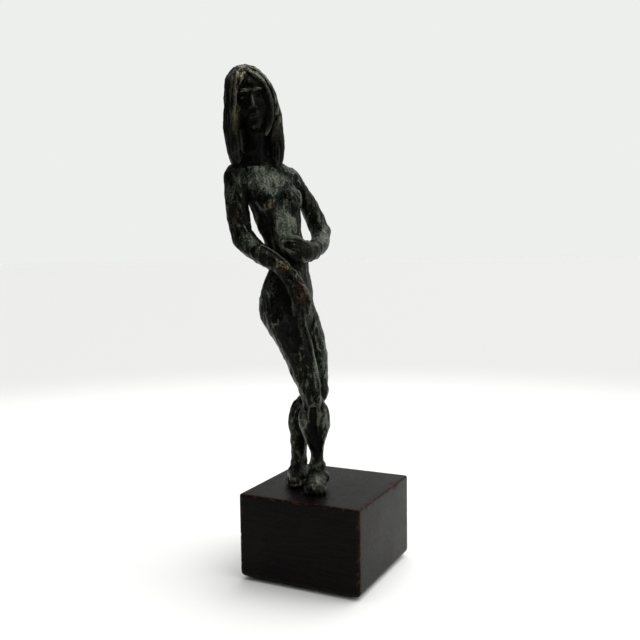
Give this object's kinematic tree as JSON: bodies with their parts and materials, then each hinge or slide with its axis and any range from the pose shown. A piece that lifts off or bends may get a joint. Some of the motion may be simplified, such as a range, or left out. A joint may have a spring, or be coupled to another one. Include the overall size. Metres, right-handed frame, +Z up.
{
  "type": "bronze statuette",
  "caption": "Standing female figure in dark patinated bronze with long hair and folded arms, swaying to one side on a square block of dark wood with a felt underside.",
  "frame": {"origin": "centre of the felt's underside, on the surface that the plinth stands on", "axes": "+Z up, -Y the plinth's face at the figure's right-hand side, +X the plinth's face at the figure's left-hand side; the figure faces the corner between -Y and +X"},
  "size_m": [0.0868, 0.0798, 0.2962],
  "materials": {
    "bronze": "dark brown and green patina over cast bronze, waxed, with worn brown high spots",
    "dark_wood": "dark stained hardwood, satin varnish, worn arrises",
    "felt": "dark green baize",
    "steel": "plain zinc-plated fixings"
  },
  "bodies": {
    "root": {"plinth": "dark_wood", "felt_pad": "felt", "torso_casting": "bronze", "head_casting": "bronze", "right_arm_casting": "bronze", "left_arm_casting": "bronze", "right_leg_casting": "bronze", "left_leg_casting": "bronze", "neck_dowel": "bronze", "right_shoulder_dowel": "bronze", "left_shoulder_dowel": "bronze", "right_hip_dowel": "bronze", "left_hip_dowel": "bronze", "right_foot_stud": "steel", "left_foot_stud": "steel", "right_foot_washer": "steel", "left_foot_washer": "steel", "right_foot_nut": "steel", "left_foot_nut": "steel"}
  },
  "joints": []
}
